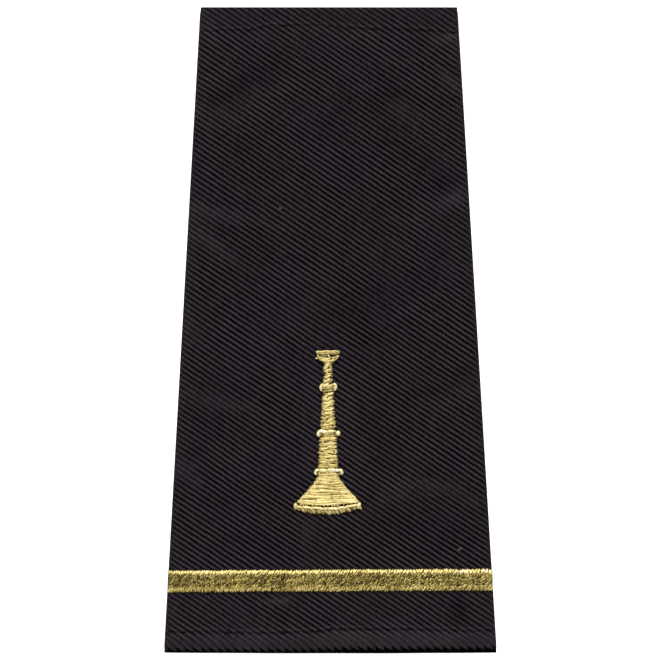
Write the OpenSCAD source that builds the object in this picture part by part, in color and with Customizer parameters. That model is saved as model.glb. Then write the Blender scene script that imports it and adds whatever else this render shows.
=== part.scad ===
// Soft slip-on shoulder slide: a tapered flat tube of black cloth, laid on its back,
// with a gold embroidered bugle and one gold stripe on its front.
// X is the width, Y the length with the wide end at -Y, Z is up, and the back lies on Z = 0.

/* [Sleeve] */
// Length from the wide end to the narrow end
sleeve_length = 108; // [90:0.5:125]
// Width of the wide end
wide_w = 55.6; // [48:0.2:64]
// Width of the narrow end
narrow_w = 42.9; // [36:0.1:47]
// Clear height inside each mouth, at the middle of its width
mouth_h = 5; // [4.2:0.1:9]
// How much lower the front lies halfway along than at the mouths
sag = 0.6; // [0:0.1:1.2]

/* [Cloth] */
// Thickness of one ply of the cloth
cloth_t = 1; // [1:0.1:1.5]
// Depth that each end is turned in for its hem
hem_depth = 6; // [4:0.5:10]
// Depth of the soft creases in the front
crease_depth = 0.35; // [0:0.05:0.5]
// Width of the groove along the seam in the middle of the back
seam_w = 1.6; // [1:0.1:3]
// Depth of the groove along the seam
seam_depth = 0.25; // [0.1:0.05:0.4]

/* [Embroidery] */
// Height of the embroidery above the cloth under it
raise = 0.7; // [0.4:0.05:1]
// Width of the stripe, measured along the sleeve
stripe_w = 3.6; // [2:0.1:8]
// Distance from the wide end to the middle of the stripe
stripe_up = 12.1; // [9:0.1:18]
// Distance from the stripe's upper edge to the bottom of the bugle
bugle_clear = 9.3; // [2:0.1:20]
// Height of the bugle
bugle_h = 27.4; // [20:0.1:40]
// Width of the bugle's rim
bugle_w = 11.4; // [8:0.1:18]

/* [Hidden] */
cloth_color = [0.13, 0.11, 0.13];
gold_color = [0.73, 0.66, 0.40];

// Space left between the plies inside a side fold
fold_gap = 0.3;
// Outer radius of a side fold
fold_r = cloth_t + fold_gap / 2;
// Clearance between the embroidery and the cloth, and between two pieces of embroidery
thread_gap = 0.15;
// Length over which the raw edge of a hem steps down to one ply
hem_step = 0.4;
// Exponents of the front's arch: a higher first one makes a flatter top
arch_flat = 2.5;
arch_edge = 1.25;

// Steps of the mesh
mid_steps = 27;
front_steps = 24;
back_steps = 4;
fold_steps = 6;
lip_angles = [20, 52, 90];

// Soft creases in the front. The two ends are given across as shares of the half width there, and along
// as shares of the length from the middle. Lift is a share of crease_depth, below 0 for a valley.
// Breadth is a share of the length.
//        across_1 along_1 across_2 along_2 lift breadth
CREASES = [
    [-0.94,  0.331, -0.36,  0.410, -1.0, 0.024],
    [ 0.52,  0.291,  0.96,  0.207, -1.0, 0.026],
    [-0.93,  0.180, -0.28,  0.158,  0.6, 0.026],
    [-0.93,  0.167, -0.60,  0.111, -0.7, 0.024],
    [ 0.50,  0.337,  0.76,  0.307,  0.6, 0.022],
    [-0.52, -0.013,  0.14,  0.077,  0.7, 0.036],
    [-0.97, -0.078, -0.53, -0.109, -0.7, 0.026],
    [ 0.52, -0.110,  0.95, -0.084, -0.9, 0.026],
    [ 0.28, -0.264,  0.68, -0.252,  0.6, 0.028]
];
ACROSS_1 = 0;
ALONG_1 = 1;
ACROSS_2 = 2;
ALONG_2 = 3;
LIFT = 4;
BREADTH = 5;

// Each bugle piece spans two heights, given as shares of the bugle's height from its bottom.
MOUTH_RIM_SPAN = [0.971, 1.000];
MOUTH_CUP_SPAN = [0.917, 0.971];
NECK_SPAN = [0.795, 0.917];
UPPER_RING_SPAN = [0.746, 0.795];
UPPER_TUBE_SPAN = [0.514, 0.746];
MIDDLE_RING_SPAN = [0.471, 0.514];
LOWER_TUBE_SPAN = [0.281, 0.471];
LOWER_RING_SPAN = [0.232, 0.281];
BELL_SPAN = [0.064, 0.232];
// How far the lower edge of the bell's rim rises from its middle to its ends, as the same kind of share
RIM_SMILE = 0.034;

// Sections of each piece: height as a share of the piece's own, width as a share of the rim's width.
MOUTH_CUP_ROWS = [[0, 0.13], [0.3, 0.20], [0.65, 0.29], [1, 0.32]];
NECK_ROWS = [[0, 0.15], [0.25, 0.12], [0.6, 0.11], [1, 0.13]];
UPPER_TUBE_ROWS = [[0, 0.22], [0.5, 0.19], [1, 0.17]];
LOWER_TUBE_ROWS = [[0, 0.29], [0.5, 0.27], [1, 0.25]];
BELL_ROWS = [[0, 0.95], [0.08, 0.86], [0.22, 0.76], [0.38, 0.64], [0.55, 0.54], [0.75, 0.44], [1, 0.34]];

// Widths of the cross bands, as shares of the rim's width
MOUTH_RIM_SHARE = 0.34;
UPPER_RING_SHARE = 0.26;
MIDDLE_RING_SHARE = 0.36;
LOWER_RING_SHARE = 0.42;

// Each cross band ends in two knobs. Across the band, from -1 to 1: where the knobs' middles are,
// how far they spread, and what share of the band's height and raise is left between them.
KNOB_AT = 0.78;
KNOB_SPREAD = 0.22;
KNOB_WAIST = 0.7;

// Half of the sleeve's width at a place along it, and the part of that inside the side folds
function half_w(y) = (wide_w + narrow_w) / 4 - (wide_w - narrow_w) / 2 * y / sleeve_length;
function flat_half(y) = half_w(y) - fold_r;

// Height of the front's outer face along the middle
function crown(y) = mouth_h + 4 * cloth_t - sag * (1 - pow(2 * y / sleeve_length, 2));

// The front's arch, 1 in the middle and 0 at the side folds
function arch(s) = pow(1 - pow(min(abs(s), 1), arch_flat), arch_edge);

// Lift of one crease at a point: full along its line, fading away from it
function crease_lift(p, c) =
    let (a = [c[ACROSS_1] * half_w(c[ALONG_1] * sleeve_length), c[ALONG_1] * sleeve_length],
         b = [c[ACROSS_2] * half_w(c[ALONG_2] * sleeve_length), c[ALONG_2] * sleeve_length],
         share = min(1, max(0, (p - a) * (b - a) / ((b - a) * (b - a)))),
         away = norm(p - a - share * (b - a)) / (c[BREADTH] * sleeve_length))
    c[LIFT] * crease_depth * exp(-away * away);

function sum(list, i = 0) = i < len(list) ? list[i] + sum(list, i + 1) : 0;

// All creases together, fading out before the side folds, which stay straight
function creases(x, y) =
    (1 - pow(min(abs(x / flat_half(y)), 1), 6)) * sum([for (c = CREASES) crease_lift([x, y], c)]);

// Height of the front's outer face
function front_z(x, y) =
    2 * fold_r + (crown(y) - 2 * fold_r) * arch(x / flat_half(y)) + creases(x, y);

// Slope of the front across the sleeve, and how much longer a ply measures upright than square to it
function front_slope(x, y) = (front_z(x + 0.1, y) - front_z(x - 0.1, y)) / 0.2;
function upright(x, y) = sqrt(1 + pow(front_slope(x, y), 2));

// Places across the front, from +X to -X, closer together near the side folds
function front_x(y) =
    [for (i = [0:front_steps])
        let (u = 1 - 2 * i / front_steps)
        flat_half(y) * (u + sin(90 * u)) / 2];

// Places across the back, from -X to +X, with the seam's groove in the middle
function back_x(y) =
    let (side = (flat_half(y) - seam_w / 2) / back_steps)
    concat([for (i = [0:back_steps]) -flat_half(y) + i * side],
           [0],
           [for (i = [0:back_steps]) seam_w / 2 + i * side]);
function groove(x) = x == 0 ? seam_depth : 0;

// Points round one side fold, without its two ends
function fold_points(y, r, side) =
    [for (k = [1:fold_steps - 1])
        let (a = side > 0 ? -90 + 180 * k / fold_steps : 90 + 180 * k / fold_steps)
        [side * flat_half(y) + r * cos(a), y, fold_r + r * sin(a)]];

// One ring of the outer face, set in from it by inset
function outer_ring(y, inset) =
    concat([for (x = back_x(y)) [x, y, groove(x) + inset]],
           fold_points(y, fold_r - inset, 1),
           [for (x = front_x(y)) [x, y, front_z(x, y) - inset * upright(x, y)]],
           fold_points(y, fold_r - inset, -1));

// One ring of the inner face under so many plies. Towards the side folds the plies lie together.
function inner_ring(y, plies, inset) =
    let (deep = plies * cloth_t - inset)
    concat([for (x = back_x(y)) [x, y, min(deep, (front_z(x, y) - fold_gap) / 2)]],
           fold_points(y, fold_gap / 2, 1),
           [for (x = front_x(y))
               [x, y, max(front_z(x, y) - deep * upright(x, y), (front_z(x, y) + fold_gap) / 2)]],
           fold_points(y, fold_gap / 2, -1));

// Rows along the sleeve: place, inset of the rounded lip, and the number of plies
half_l = sleeve_length / 2;
hem_end = half_l - hem_depth;
lip_rows = [for (a = lip_angles)
    [half_l - cloth_t * (cos(lip_angles[0]) - cos(a)), cloth_t * (1 - sin(a)), 2]];
end_rows = concat(lip_rows, [[hem_end, 0, 2], [hem_end - hem_step, 0, 1]]);
mid_reach = hem_end - hem_step;
mid_rows = [for (i = [1:mid_steps - 1]) [mid_reach * (2 * i / mid_steps - 1), 0, 1]];
rows = concat([for (r = end_rows) [-r[0], r[1], r[2]]],
              mid_rows,
              [for (i = [len(end_rows) - 1:-1:0]) end_rows[i]]);

// Faces between rings of n points, where ring j starts at point first + j * n. They look outwards
// where the points go round to the left, seen along the way from ring to ring, or inwards if turned.
function tube_faces(n, rings, first = 0, turned = false) =
    [for (j = [0:rings - 2], i = [0:n - 1])
        let (a = first + j * n + i,
             b = first + j * n + (i + 1) % n)
        each turned ? [[a, b, b + n], [a, b + n, a + n]]
                    : [[b + n, b, a], [a + n, b + n, a]]];

module sleeve() {
    outer = [for (r = rows) each outer_ring(r[0], r[1])];
    inner = [for (r = rows) each inner_ring(r[0], r[2], r[1])];
    n = len(outer_ring(0, 0));
    count = len(outer);
    last = count - n;
    lip_low = [for (i = [0:n - 1])
        let (a = i, b = (i + 1) % n)
        each [[b + count, b, a], [a + count, b + count, a]]];
    lip_high = [for (i = [0:n - 1])
        let (a = last + i, b = last + (i + 1) % n)
        each [[a, b, b + count], [a, b + count, a + count]]];
    color(cloth_color)
        polyhedron(points = concat(outer, inner),
                   faces = concat(tube_faces(n, len(rows), turned = true),
                                  tube_faces(n, len(rows), first = count),
                                  lip_low, lip_high),
                   convexity = 6);
}

// A solid through rings of n points each, closed at both ends
module loft(rings) {
    n = len(rings[0]);
    last = (len(rings) - 1) * n;
    color(gold_color)
        polyhedron(points = [for (r = rings) each r],
                   faces = concat(tube_faces(n, len(rings)),
                                  [[for (i = [0:n - 1]) i]],
                                  [[for (i = [n - 1:-1:0]) last + i]]),
                   convexity = 4);
}

// Height of the embroidery across a band, from -1 to 1: full in the middle, less at the edges
function pillow(v) = raise * (0.35 + 0.65 * sqrt(max(0, 1 - v * v)));
band_steps = [-1, -0.92, -0.6, 0, 0.6, 0.92, 1];

// A point above the cloth, set off square to it across the sleeve
function above(x, y, off) =
    let (slope = front_slope(x, y), run = sqrt(1 + slope * slope))
    [x - off * slope / run, y, front_z(x, y) + off / run];

// The stripe's path round the front: angles on the side folds, then places across the front.
// On the side folds it thins out, so that it ends flush with them.
stripe_y = stripe_up - half_l;
stripe_angles = [35, 50, 65, 80];
function stripe_ring(side, a) =
    [for (v = band_steps)
        let (y = stripe_y + v * stripe_w / 2, r = fold_r + thread_gap + pillow(v) * pow(sin(a), 2))
        [side * (flat_half(y) + r * cos(a)), y, fold_r + r * sin(a)]];
function stripe_under(side, a) =
    [for (v = [1, -1])
        let (y = stripe_y + v * stripe_w / 2, r = fold_r + thread_gap)
        [side * (flat_half(y) + r * cos(a)), y, fold_r + r * sin(a)]];
function stripe_front(s) =
    concat([for (v = band_steps)
                let (y = stripe_y + v * stripe_w / 2)
                above(s * flat_half(y), y, thread_gap + pillow(v))],
           [for (v = [1, -1])
                let (y = stripe_y + v * stripe_w / 2)
                above(s * flat_half(y), y, thread_gap)]);
stripe_shares = [for (i = [1:front_steps - 1])
    let (u = 1 - 2 * i / front_steps)
    (u + sin(90 * u)) / 2];

module stripe() {
    loft(concat([for (a = stripe_angles) concat(stripe_ring(1, a), stripe_under(1, a))],
                [for (s = stripe_shares) stripe_front(s)],
                [for (i = [len(stripe_angles) - 1:-1:0])
                    concat(stripe_ring(-1, stripe_angles[i]), stripe_under(-1, stripe_angles[i]))]));
}

// The bugle's bottom edge
bugle_y = stripe_up + stripe_w / 2 + bugle_clear - half_l;
piece_steps = 6;

// One raised piece of the bugle between two heights, its edges following a table of widths
module bugle_piece(span, sections) {
    low = bugle_y + span[0] * bugle_h + thread_gap / 2;
    high = bugle_y + span[1] * bugle_h - thread_gap / 2;
    rings = [for (j = [0:piece_steps])
        let (share = (1 - cos(180 * j / piece_steps)) / 2,
             y = low + share * (high - low),
             half = lookup(share, sections) * bugle_w / 2,
             tall = 0.45 + 0.55 * sin(180 * j / piece_steps))
        concat([for (v = band_steps) above(v * half, y, thread_gap + tall * pillow(v))],
               [for (v = [1, 0, -1]) above(v * half, y, thread_gap)])];
    loft(rings);
}

module bugle_mouth_cup() { bugle_piece(MOUTH_CUP_SPAN, MOUTH_CUP_ROWS); }
module bugle_neck() { bugle_piece(NECK_SPAN, NECK_ROWS); }
module bugle_upper_tube() { bugle_piece(UPPER_TUBE_SPAN, UPPER_TUBE_ROWS); }
module bugle_lower_tube() { bugle_piece(LOWER_TUBE_SPAN, LOWER_TUBE_ROWS); }
module bugle_bell() { bugle_piece(BELL_SPAN, BELL_ROWS); }

// How full a cross band is at a place across it: full at its two knobs, less between them and at the ends
function knobs(u) =
    let (out = max(0, abs(u) - KNOB_AT) / (1 - KNOB_AT))
    (KNOB_WAIST + (1 - KNOB_WAIST) * exp(-pow((abs(u) - KNOB_AT) / KNOB_SPREAD, 2)))
        * sqrt(1 - 0.75 * out * out);
band_shares = [1, 0.93, 0.78, 0.55, 0.3, 0, -0.3, -0.55, -0.78, -0.93, -1];

// A band across the bugle between two heights, with a knob at each end.
// Its lower edge may rise towards the ends by smile.
module bugle_band(low, high, wide, smile = 0) {
    loft([for (u = band_shares)
        let (x = u * wide / 2,
             bottom = low + smile * u * u,
             mid = (high + bottom) / 2,
             half = (high - bottom) / 2 * (smile > 0 ? 1 : knobs(u)))
        concat([for (v = band_steps) above(x, mid + v * half, thread_gap + knobs(u) * pillow(v))],
               [for (v = [1, -1]) above(x, mid + v * half, thread_gap)])]);
}

module bugle_ring(span, share) {
    bugle_band(bugle_y + span[0] * bugle_h + thread_gap / 2,
               bugle_y + span[1] * bugle_h - thread_gap / 2,
               share * bugle_w);
}

module bugle_mouth_rim() { bugle_ring(MOUTH_RIM_SPAN, MOUTH_RIM_SHARE); }
module bugle_upper_ring() { bugle_ring(UPPER_RING_SPAN, UPPER_RING_SHARE); }
module bugle_middle_ring() { bugle_ring(MIDDLE_RING_SPAN, MIDDLE_RING_SHARE); }
module bugle_lower_ring() { bugle_ring(LOWER_RING_SPAN, LOWER_RING_SHARE); }

module bugle_bell_rim() {
    bugle_band(bugle_y, bugle_y + BELL_SPAN[0] * bugle_h - thread_gap / 2, bugle_w, RIM_SMILE * bugle_h);
}

sleeve();
stripe();
bugle_mouth_rim();
bugle_mouth_cup();
bugle_neck();
bugle_upper_ring();
bugle_upper_tube();
bugle_middle_ring();
bugle_lower_tube();
bugle_lower_ring();
bugle_bell();
bugle_bell_rim();
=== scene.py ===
"""Dresses the shoulder slide: ribbed twill cloth, hem stitches, gold embroidery, floor, light and camera."""
import math

import bpy
import numpy as np
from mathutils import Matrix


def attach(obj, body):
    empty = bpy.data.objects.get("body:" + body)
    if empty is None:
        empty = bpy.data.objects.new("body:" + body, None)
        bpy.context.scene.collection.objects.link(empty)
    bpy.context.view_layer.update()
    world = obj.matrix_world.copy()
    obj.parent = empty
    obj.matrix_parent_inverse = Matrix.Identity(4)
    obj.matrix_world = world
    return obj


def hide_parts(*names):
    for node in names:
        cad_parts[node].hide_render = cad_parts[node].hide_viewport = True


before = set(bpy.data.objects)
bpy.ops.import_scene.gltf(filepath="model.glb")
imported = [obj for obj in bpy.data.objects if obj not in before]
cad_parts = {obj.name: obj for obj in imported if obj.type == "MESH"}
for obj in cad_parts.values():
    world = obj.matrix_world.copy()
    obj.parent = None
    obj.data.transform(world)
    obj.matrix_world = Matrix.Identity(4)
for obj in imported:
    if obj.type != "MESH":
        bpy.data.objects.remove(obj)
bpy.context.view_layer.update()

MM = 0.001
TAU = 2 * math.pi

# Sizes in millimetres, as in the CAD part
LENGTH, WIDE, NARROW = 108.0, 55.6, 42.9
# Height of the front at its ends, how much lower it is in the middle, and the two powers of its arch
CROWN, SAG = 9.0, 0.6
ARCH_FLAT, ARCH_EDGE = 2.5, 1.25
HALF_L = LENGTH / 2
TAPER = (WIDE - NARROW) / (2 * LENGTH)
MID_HALF = (WIDE + NARROW) / 4
# The middle of the stripe from the wide end, then the bare cloth between stripe and bugle
STRIPE_AT, STRIPE_W, BETWEEN = 12.1, 3.6, 9.3
STRIPE_Y = STRIPE_AT - HALF_L
BUGLE_H, BUGLE_W = 27.4, 11.4
BUGLE_X, BUGLE_Y = -0.30, STRIPE_AT + STRIPE_W / 2 + BETWEEN - HALF_L

# The real cloth is thinner than its CAD solid: one ply, the radius of a hem's bend and that of a side fold
PLY, LIP_R, FOLD_R = 0.34, 0.36, 0.80
FOLD_TURN = math.pi * FOLD_R
# The seam in the back: how far it draws the cloth up, and half its breadth
SEAM_DIP, SEAM_HALF = 0.55, 0.42
# The lines of hem stitches sink the cloth in the same way
STITCH_DIP, STITCH_HALF = 0.14, 0.42
HEM = 6.0
# The sleeve lies a little askew: its way sideways for each mm along
SIDEWAYS = -0.0022
# Half the flat width of the front in the middle of the sleeve, between its side folds: a little over the CAD's
F0 = MID_HALF - FOLD_R + 0.085
# Distances along the cloth from the sleeve's middle: where a hem's bend starts, its length, and the raw edge
EDGE = HALF_L - LIP_R
TURN = math.pi * LIP_R

# Twill: ribs fall to the right by 33.6 degrees, one every 0.933 mm along the sleeve
RIB_TAN = math.tan(math.radians(33.6))
RIB_STEP, RIB_DEEP = 0.933, 0.145
WARP_STEP = 0.468
# Past STEEP_V, at the end of the wide hem, the ribs fall more steeply
STEEP_V, STEEPER = 52.0, 0.30

# Soft creases: across and along at both ends, as shares, then lift in mm and breadth in mm
CREASES = [
    (-0.94, 0.331, -0.36, 0.41, -0.35, 2.6),
    (0.52, 0.291, 0.96, 0.207, -0.35, 2.8),
    (-0.93, 0.18, -0.28, 0.158, 0.21, 2.8),
    (-0.93, 0.167, -0.6, 0.111, -0.25, 2.6),
    (0.5, 0.337, 0.76, 0.307, 0.21, 2.4),
    (-0.52, -0.013, 0.14, 0.077, 0.25, 3.9),
    (-0.97, -0.078, -0.53, -0.109, -0.25, 2.8),
    (0.52, -0.11, 0.95, -0.084, -0.31, 2.8),
    (0.28, -0.264, 0.68, -0.252, 0.21, 3.0),
    (-0.82, -0.116, -0.56, -0.114, 0.06, 0.8),
    (-0.99, -0.208, -0.86, -0.236, 0.07, 1.0),
    (0.2, 0.368, 0.52, 0.367, 0.06, 0.7),
    (0.84, 0.408, 0.93, 0.38, 0.06, 1.0),
]

# Small wrinkles: both ends in mm, height, rise towards the wide end, breadth, and the painted light along them
WRINKLES = [
    (-19.8, 35.5, -8.7, 42.8, -1.35, 0.0, 2.2, 0.0),
    (9.9, 38.5, 16.2, 34.4, 0.0, 0.36, 1.4, 0.2),
    (12.4, 33.8, 22.2, 23.4, 0.42, 0.0, 2.2, 0.0),
    (17.4, 20.9, 24.6, 23.7, 0.0, 0.95, 1.4, 1.0),
    (18.6, 43.8, 22.6, 39.3, -0.2, 0.7, 1.1, 1.8),
    (-24.0, 20.7, -11.2, 18.0, 0.0, 0.6, 1.3, 0.6),
    (-24.1, 17.9, -15.6, 11.2, 0.0, 0.65, 1.2, 0.9),
    (-25.6, -10.8, -12.7, -13.1, 0.0, 0.48, 1.2, 0.6),
    (-27.0, -20.5, -22.3, -25.5, 0.0, 0.85, 1.6, 0.9),
    (16.5, -11.3, 25.9, -8.1, -0.75, 0.0, 1.6, 0.0),
    (9.4, -29.0, 15.2, -25.8, 0.0, 0.38, 1.4, 0.3),
    (15.2, -25.7, 26.1, -28.3, 0.0, 0.36, 1.3, 0.5),
    (0.1, 0.8, 13.2, 8.3, 0.0, -0.36, 2.0, 0.0),
    (-4.9, -36.0, -3.4, -31.9, 0.0, 0.0, 1.0, 1.0),
    (-11.2, 0.0, -1.2, 5.0, 0.0, 0.15, 1.6, 0.1),
    (17.9, 48.4, 22.2, 49.4, 0.0, 0.65, 1.3, 1.2),
    (-13.3, -23.5, -6.6, -18.5, 0.0, 0.1, 1.3, 0.0),
    (3.5, 30.1, 7.2, 19.2, 0.1, 0.0, 1.4, 0.0),
    (-24.5, 2.3, -22.3, -2.4, 0.0, 0.5, 1.3, 0.9),
    (1.8, 40.1, 7.2, 36.5, 0.0, -0.3, 2.0, 0.0),
]

# Painted light on rises of the cloth and painted shade in its hollows: both ends in mm, how much lighter, and
# breadth
LIGHT_AND_SHADE_PATCHES = [
    (-22.4, 20.6, -20.4, 17.4, 0.055, 1.5),
    (-20.6, 41.5, -16.0, 42.0, 0.035, 0.9),
    (-20.8, 34.6, -19.2, 34.0, 0.03, 0.9),
    (-21.6, 52.2, -19.6, 49.2, 0.1, 2.0),
    (-22.1, 46.8, -22.8, 34.3, 0.044, 1.5),
    (-22.3, 37.1, -17.9, 36.5, 0.08, 1.3),
    (-23.1, 20.9, -23.5, 16.4, 0.08, 1.5),
    (-23.8, 14.2, -24.5, 1.6, 0.052, 1.5),
    (-24.6, 0.0, -26.3, -25.2, 0.044, 1.5),
    (-26.6, -35.2, -26.1, -38.5, 0.05, 1.5),
    (-19.1, 50.5, 19.4, 50.2, 0.032, 1.5),
    (3.8, 49.3, 9.9, 46.8, 0.044, 2.3),
    (-12.2, 49.2, -11.2, 49.5, 0.05, 1.5),
    (20.1, 49.8, 21.1, 48.2, 0.08, 1.2),
    (17.9, 45.5, 20.6, 45.5, 0.07, 0.8),
    (11.9, 37.1, 14.9, 31.8, 0.036, 1.0),
    (11.0, 18.9, 16.5, 18.4, 0.05, 1.3),
    (16.5, 19.4, 21.1, 21.4, 0.06, 1.3),
    (21.2, 23.1, 22.4, 22.1, 0.08, 1.3),
    (21.1, 10.3, 22.9, 9.7, 0.06, 1.0),
    (-11.9, -1.7, -10.2, -3.4, 0.07, 1.5),
    (-1.9, 6.7, -4.0, -1.7, 0.03, 1.7),
    (-20.3, -23.1, -16.3, -21.5, 0.06, 1.3),
    (-3.0, -7.1, -3.4, -23.5, 0.056, 1.3),
    (3.0, -10.9, 3.8, -23.5, 0.052, 1.8),
    (9.4, -28.5, 11.5, -25.2, 0.044, 1.5),
    (14.9, -8.1, 24.3, -9.8, 0.052, 1.0),
    (-14.1, -49.9, -10.2, -50.9, 0.08, 1.3),
    (-0.7, -50.6, 3.5, -50.6, 0.06, 1.3),
    (9.2, -49.3, 14.9, -50.6, 0.08, 1.2),
    (19.4, -50.9, 21.9, -50.3, 0.08, 1.2),
    (-26.3, -47.3, -25.6, -48.9, 0.05, 1.2),
    (8.8, 42.5, 11.9, 39.8, -0.07, 1.3),
    (8.5, 38.5, 11.0, 38.8, -0.09, 1.3),
    (0.1, 33.8, 3.8, 37.6, -0.068, 1.8),
    (9.9, 29.8, 16.0, 28.8, -0.052, 1.7),
    (15.2, 25.9, 20.2, 23.4, -0.056, 1.5),
    (19.4, 44.0, 21.6, 42.8, -0.09, 0.8),
    (-17.9, 32.1, -14.1, 30.1, -0.044, 2.0),
    (-20.5, 38.0, -14.9, 41.1, -0.052, 0.8),
    (-15.8, 9.7, -11.2, 12.0, -0.056, 1.5),
    (-13.3, 5.0, -11.2, 0.8, -0.038, 1.8),
    (3.5, 7.7, 7.5, 6.7, -0.064, 1.7),
    (2.3, 3.3, 7.8, -1.7, -0.064, 2.3),
    (14.4, 8.7, 15.7, 8.3, -0.06, 1.2),
    (6.8, -17.1, 9.4, -18.5, -0.07, 1.5),
    (10.2, -15.1, 16.0, -10.9, -0.04, 1.8),
    (-6.6, -18.5, -5.5, -19.1, -0.06, 1.3),
    (-19.9, -16.8, -14.9, -17.1, -0.04, 1.7),
    (-19.1, -27.7, -6.6, -27.7, -0.04, 3.0),
    (-17.4, -36.0, -7.4, -35.2, -0.056, 2.2),
    (-0.7, -34.5, 3.5, -36.0, -0.048, 2.0),
    (9.4, -33.5, 23.6, -36.0, -0.058, 3.0),
    (-8.9, -52.1, -3.9, -52.9, -0.08, 1.2),
    (-27.5, -51.9, -21.6, -51.9, -0.05, 1.0),
    (20.6, -52.9, 25.3, -51.9, -0.05, 1.0),
]

# Distance of the hem stitches from each end, by place across the front, and in the back
NARROW_STITCH = ([-1, -0.65, -0.5, -0.1, 0, 0.25, 0.6, 1], [4.02, 3.79, 3.02, 2.94, 3.10, 3.49, 3.72, 4.19])
WIDE_STITCH = ([-1, -0.57, -0.05, 0, 0.63, 1], [3.49, 3.39, 3.69, 4.05, 3.88, 3.76])
BACK_STITCH = 3.9
# About where that is from the sleeve's middle, then step, length and radius of the stitches
STITCH_AT = 50.0
STITCH_STEP, STITCH_LONG, STITCH_R = 1.9, 1.62, 0.092


def smooth(low, high, x):
    t = np.clip((x - low) / (high - low), 0, 1)
    return t * t * (3 - 2 * t)


def waves(x, y, size, seed, count=7):
    """Smooth noise of about -1 to 1: a few sines with seeded directions, about size mm long."""
    r = np.random.default_rng(seed)
    total = 0
    for _ in range(count):
        a, s, p = r.uniform(0, TAU), size * r.uniform(0.7, 1.5), r.uniform(0, TAU)
        total = total + np.sin((x * math.cos(a) + y * math.sin(a)) * TAU / s + p)
    return total / math.sqrt(count)


# The shape of the sleeve

def half_width(y):
    return MID_HALF - TAPER * y


def flat_half(y):
    return F0 - TAPER * y


def from_stroke(x, y, ax, ay, bx, by):
    """The nearest place on the stroke from a to b, as a share of it, and the way from there to x and y."""
    rx, ry = bx - ax, by - ay
    t = np.clip(((x - ax) * rx + (y - ay) * ry) / (rx * rx + ry * ry), 0, 1)
    return t, x - ax - t * rx, y - ay - t * ry


def soft_strokes(x, y, rows):
    """Sum of soft strokes, from rows of both ends in mm, height and breadth."""
    total = 0
    for *ends, height, breadth in rows:
        _, px, py = from_stroke(x, y, *ends)
        total = total + height * np.exp(-(px * px + py * py) / breadth ** 2)
    return total


def crease_rows():
    """The creases with their ends in mm."""
    for ax, ay, bx, by, lift, breadth in CREASES:
        ay, by = ay * LENGTH, by * LENGTH
        yield ax * half_width(ay), ay, bx * half_width(by), by, lift, breadth


def wrinkle_sum(x, y):
    """Height of the small wrinkles, how much they press the ribs flat, and the painted light along them."""
    height = flat = crease_light_painted = 0 * x
    for ax, ay, bx, by, even, odd, breadth, lit in WRINKLES:
        t, px, py = from_stroke(x, y, ax, ay, bx, by)
        turned = math.copysign(1, bx - ax) / math.hypot(bx - ax, by - ay)
        u = (py * (bx - ax) - px * (by - ay)) * turned / breadth
        away = np.hypot(px, py) / breadth
        near = np.exp(-away * away)
        ends = 0.25 + 0.75 * np.sin(math.pi * (0.15 + 0.7 * t))
        height = height + ends * (even * near - odd * u * np.sqrt(near))
        flat = flat + ends * min(1, abs(even) + 1.5 * abs(odd) + lit) * near
        crease_light_painted = crease_light_painted + ends * lit * near ** 1.6
    return height, np.clip(flat, 0, 1), np.clip(crease_light_painted, 0, 2)


def front_z(x, y):
    """Height of the front's outer face."""
    s = np.clip(np.abs(x / flat_half(y)), 0, 1)
    crown = CROWN - SAG * (1 - (2 * y / LENGTH) ** 2)
    arch = np.maximum(1 - s ** ARCH_FLAT, 0) ** ARCH_EDGE
    soft = soft_strokes(x, y, crease_rows()) + 0.07 * waves(x, y, 17, 3) + 0.03 * waves(x, y, 7, 4)
    soft = soft + wrinkle_sum(x, y)[0]
    return 2 * FOLD_R + (crown - 2 * FOLD_R) * arch + (1 - s ** 12) * soft


def section(k, m, y):
    """Outer face of the sleeve and its outward normal. k runs from -2 to 2 round the sleeve, from the
    seam to the seam: 0 is the middle of the front and 1 a side fold. m is the way round that fold."""
    side = np.where(k < 0, -1.0, 1.0)
    f = flat_half(y)
    m = np.abs(m)
    front = (np.abs(k) <= 1) & (m <= 0)
    back = m >= FOLD_TURN - 1e-9
    phi = m / FOLD_R
    xf = k * f
    e = 0.05
    zx = (front_z(xf + e, y) - front_z(xf - e, y)) / (2 * e)
    zy = (front_z(xf, y + e) - front_z(xf, y - e)) / (2 * e)
    size = np.sqrt(1 + zx * zx + zy * zy)
    xb = side * (2 - np.abs(k)) * f
    dip = SEAM_DIP * np.exp(-(xb / SEAM_HALF) ** 2)
    x = np.where(front, xf, np.where(back, xb, side * (f + FOLD_R * np.sin(phi))))
    z = np.where(front, front_z(xf, y), np.where(back, dip, FOLD_R * (1 + np.cos(phi))))
    nx = np.where(front, -zx / size, np.where(back, 0, side * np.sin(phi)))
    ny = np.where(front, -zy / size, 0)
    nz = np.where(front, 1 / size, np.where(back, -1, np.cos(phi)))
    # At the narrow end the back reaches a little further than the crown
    straight = smooth(40, HALF_L, y) * (0.042 - 0.018 * (z - FOLD_R))
    return np.stack([x + SIDEWAYS * y, y + straight, z], -1), np.stack([nx, ny, nz], -1)


def from_girth(g, y):
    """The k and m of a place g mm round the sleeve from the middle of its front."""
    f = flat_half(y)
    a = np.abs(g)
    side = np.where(g < 0, -1.0, 1.0)
    m = np.clip(a - f, 0, FOLD_TURN)
    k = np.minimum(a / f, 1) + np.clip(a - f - FOLD_TURN, 0, None) / f
    return side * k, m


def on_cloth(g, y, h):
    """Points h mm above the outer face, g mm round from the middle of the front, and the normals there."""
    k, m = from_girth(g, y)
    p, n = section(k, m, y)
    return p + n * np.asarray(h)[..., None], n


def stitch_away(k, end):
    """Distance of the hem stitches from one end, by the place round the sleeve."""
    xs, ds = NARROW_STITCH if end > 0 else WIDE_STITCH
    front = np.interp(np.clip(k, -1, 1), xs, ds)
    return front + (BACK_STITCH - front) * smooth(1.0, 1.3, np.abs(k))


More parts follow.
